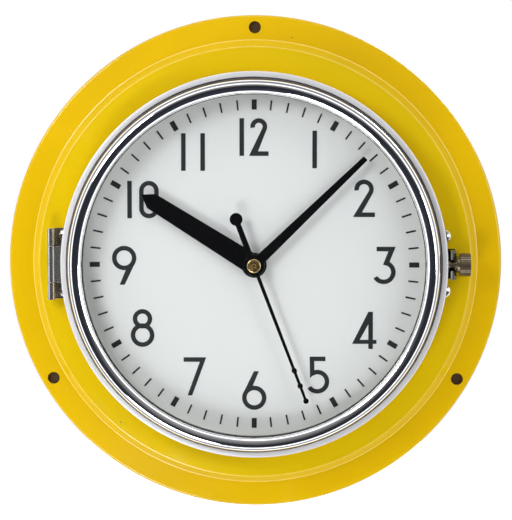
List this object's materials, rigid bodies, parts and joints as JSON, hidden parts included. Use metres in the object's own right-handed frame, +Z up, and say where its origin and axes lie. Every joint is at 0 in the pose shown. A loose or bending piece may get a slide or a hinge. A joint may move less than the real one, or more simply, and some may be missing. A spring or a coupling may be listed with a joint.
{
  "type": "ships deck clock",
  "caption": "Round marine bulkhead clock: flanged case for bolting to a wall, hinged gasketed bezel with swing-bolt latch, white dial with black numerals and three hands.",
  "frame": {"origin": "centre of the three wall holes on the mounting flange's flat back", "axes": "+Z up, the dial faces -Y, +X is the dial's 3 o'clock side, where the latch is"},
  "size_m": [0.285, 0.0885, 0.285],
  "materials": {
    "case_enamel": "semi-gloss brushed-on yellow enamel over metal, small chips and dull edges",
    "dial_white": "satin cool white dial paint",
    "dial_black": "matt black printing ink",
    "hand_black": "gloss black lacquer on thin aluminium",
    "bezel_chrome": "polished chrome plate, the flat rim dulled to satin",
    "clear_glass": "clear flat glass",
    "seal_rubber": "black rubber",
    "plated_steel": "nickel plate with handling marks",
    "dark_nickel": "tarnished nickel plate",
    "worn_brass": "nickel plate worn to brown brass",
    "clean_brass": "bright turned brass",
    "black_plastic": "moulded black plastic",
    "white_plastic": "white moulded plastic",
    "red_plastic": "red moulded plastic",
    "magnet_steel": "bare stamped steel",
    "coil_copper": "enamelled copper winding",
    "board_green": "green solder mask",
    "battery_jacket": "printed metal jacket, no lettering"
  },
  "bodies": {
    "case": {"front_case": "case_enamel", "case_collar": "case_enamel", "rear_can": "case_enamel", "can_screws": "plated_steel", "rear_cover": "case_enamel", "cover_screws": "plated_steel", "cable_gland": "black_plastic", "gland_nut": "black_plastic", "gland_plug": "seal_rubber", "case_gasket": "seal_rubber", "dial_plate": "dial_white", "minute_track": "dial_black", "hour_numerals": "dial_black", "dial_snap_ring": "plated_steel", "hinge_case_leaf": "plated_steel", "hinge_pin": "plated_steel", "hinge_screws": "plated_steel", "latch_bracket": "dark_nickel", "latch_screws": "plated_steel", "movement_front_shell": "black_plastic", "movement_rear_shell": "black_plastic", "dial_washer": "seal_rubber", "bush_nut": "clean_brass", "stator": "magnet_steel", "coil": "coil_copper", "circuit_board": "board_green", "quartz_can": "magnet_steel", "battery": "battery_jacket", "battery_contacts": "plated_steel"},
    "bezel": {"bezel_ring": "bezel_chrome", "glass_lens": "clear_glass", "glass_gasket": "seal_rubber", "glass_retaining_ring": "clean_brass", "hinge_bezel_leaf": "plated_steel", "bezel_lug": "bezel_chrome", "latch_pivot_pin": "plated_steel"},
    "swing_bolt": {"eye_bolt": "worn_brass"},
    "nut_carrier": {"nut_washer": "worn_brass"},
    "knurled_nut": {"thumb_nut": "worn_brass"},
    "second_arbor": {"second_wheel": "clean_brass", "second_hand": "hand_black", "second_hand_boss": "clean_brass"},
    "third_arbor": {"third_wheel": "clean_brass"},
    "centre_arbor": {"centre_wheel": "clean_brass"},
    "step_arbor": {"step_wheel": "white_plastic"},
    "rotor_arbor": {"rotor": "magnet_steel"},
    "minute_pipe": {"minute_arbor": "clean_brass", "minute_hand": "hand_black"},
    "minute_arbor_wheel": {"minute_wheel": "white_plastic"},
    "hour_pipe": {"hour_wheel": "clean_brass", "hour_hand": "hand_black"},
    "setting_arbor": {"setting_knob": "red_plastic"}
  },
  "joints": [
    {"name": "bezel_swing", "type": "hinge", "parent": "case", "child": "bezel", "pos_m": [-0.1167, -0.016, 0], "axis": [0, 0, -1], "range_deg": [0, 110]},
    {"name": "bolt_swing", "type": "hinge", "parent": "bezel", "child": "swing_bolt", "pos_m": [0.1084, -0.016, 0], "axis": [0, 0, -1], "range_deg": [0, 45]},
    {"name": "nut_travel", "type": "slide", "parent": "swing_bolt", "child": "nut_carrier", "axis": [1, 0, 0], "range_m": [0, 0.0021]},
    {"name": "nut_spin", "type": "hinge", "parent": "nut_carrier", "child": "knurled_nut", "pos_m": [0.1165, -0.016, 0], "axis": [1, 0, 0], "range_deg": [0, 1080]},
    {"name": "second_spin", "type": "hinge", "parent": "case", "child": "second_arbor", "pos_m": [0, 0, 0], "axis": [0, 1, 0], "continuous": true},
    {"name": "third_spin", "type": "hinge", "parent": "case", "child": "third_arbor", "pos_m": [-0.00779, 0, 0.0045], "axis": [0, 1, 0], "continuous": true},
    {"name": "centre_spin", "type": "hinge", "parent": "case", "child": "centre_arbor", "pos_m": [0, 0, 0], "axis": [0, 1, 0], "continuous": true},
    {"name": "step_spin", "type": "hinge", "parent": "case", "child": "step_arbor", "pos_m": [0.00689, 0, 0.00579], "axis": [0, 1, 0], "continuous": true},
    {"name": "rotor_spin", "type": "hinge", "parent": "case", "child": "rotor_arbor", "pos_m": [0.01551, 0, 0.0073], "axis": [0, 1, 0], "continuous": true},
    {"name": "minute_spin", "type": "hinge", "parent": "case", "child": "minute_pipe", "pos_m": [0, 0, 0], "axis": [0, 1, 0], "continuous": true},
    {"name": "minute_wheel_spin", "type": "hinge", "parent": "case", "child": "minute_arbor_wheel", "pos_m": [0, 0, 0.0075], "axis": [0, 1, 0], "continuous": true},
    {"name": "hour_spin", "type": "hinge", "parent": "case", "child": "hour_pipe", "pos_m": [0, 0, 0], "axis": [0, 1, 0], "continuous": true},
    {"name": "setting_spin", "type": "hinge", "parent": "case", "child": "setting_arbor", "pos_m": [0, 0, 0.015], "axis": [0, 1, 0], "continuous": true}
  ],
  "couplings": [
    {"joint": "nut_spin", "follows": "nut_travel", "rad_per_m": 8976},
    {"joint": "third_spin", "follows": "second_spin", "ratio": -0.13333},
    {"joint": "centre_spin", "follows": "second_spin", "ratio": 0.016667},
    {"joint": "step_spin", "follows": "second_spin", "ratio": -5},
    {"joint": "rotor_spin", "follows": "second_spin", "ratio": 30},
    {"joint": "minute_wheel_spin", "follows": "minute_spin", "ratio": -0.33333},
    {"joint": "hour_spin", "follows": "minute_spin", "ratio": 0.083333},
    {"joint": "setting_spin", "follows": "minute_spin", "ratio": 1}
  ]
}
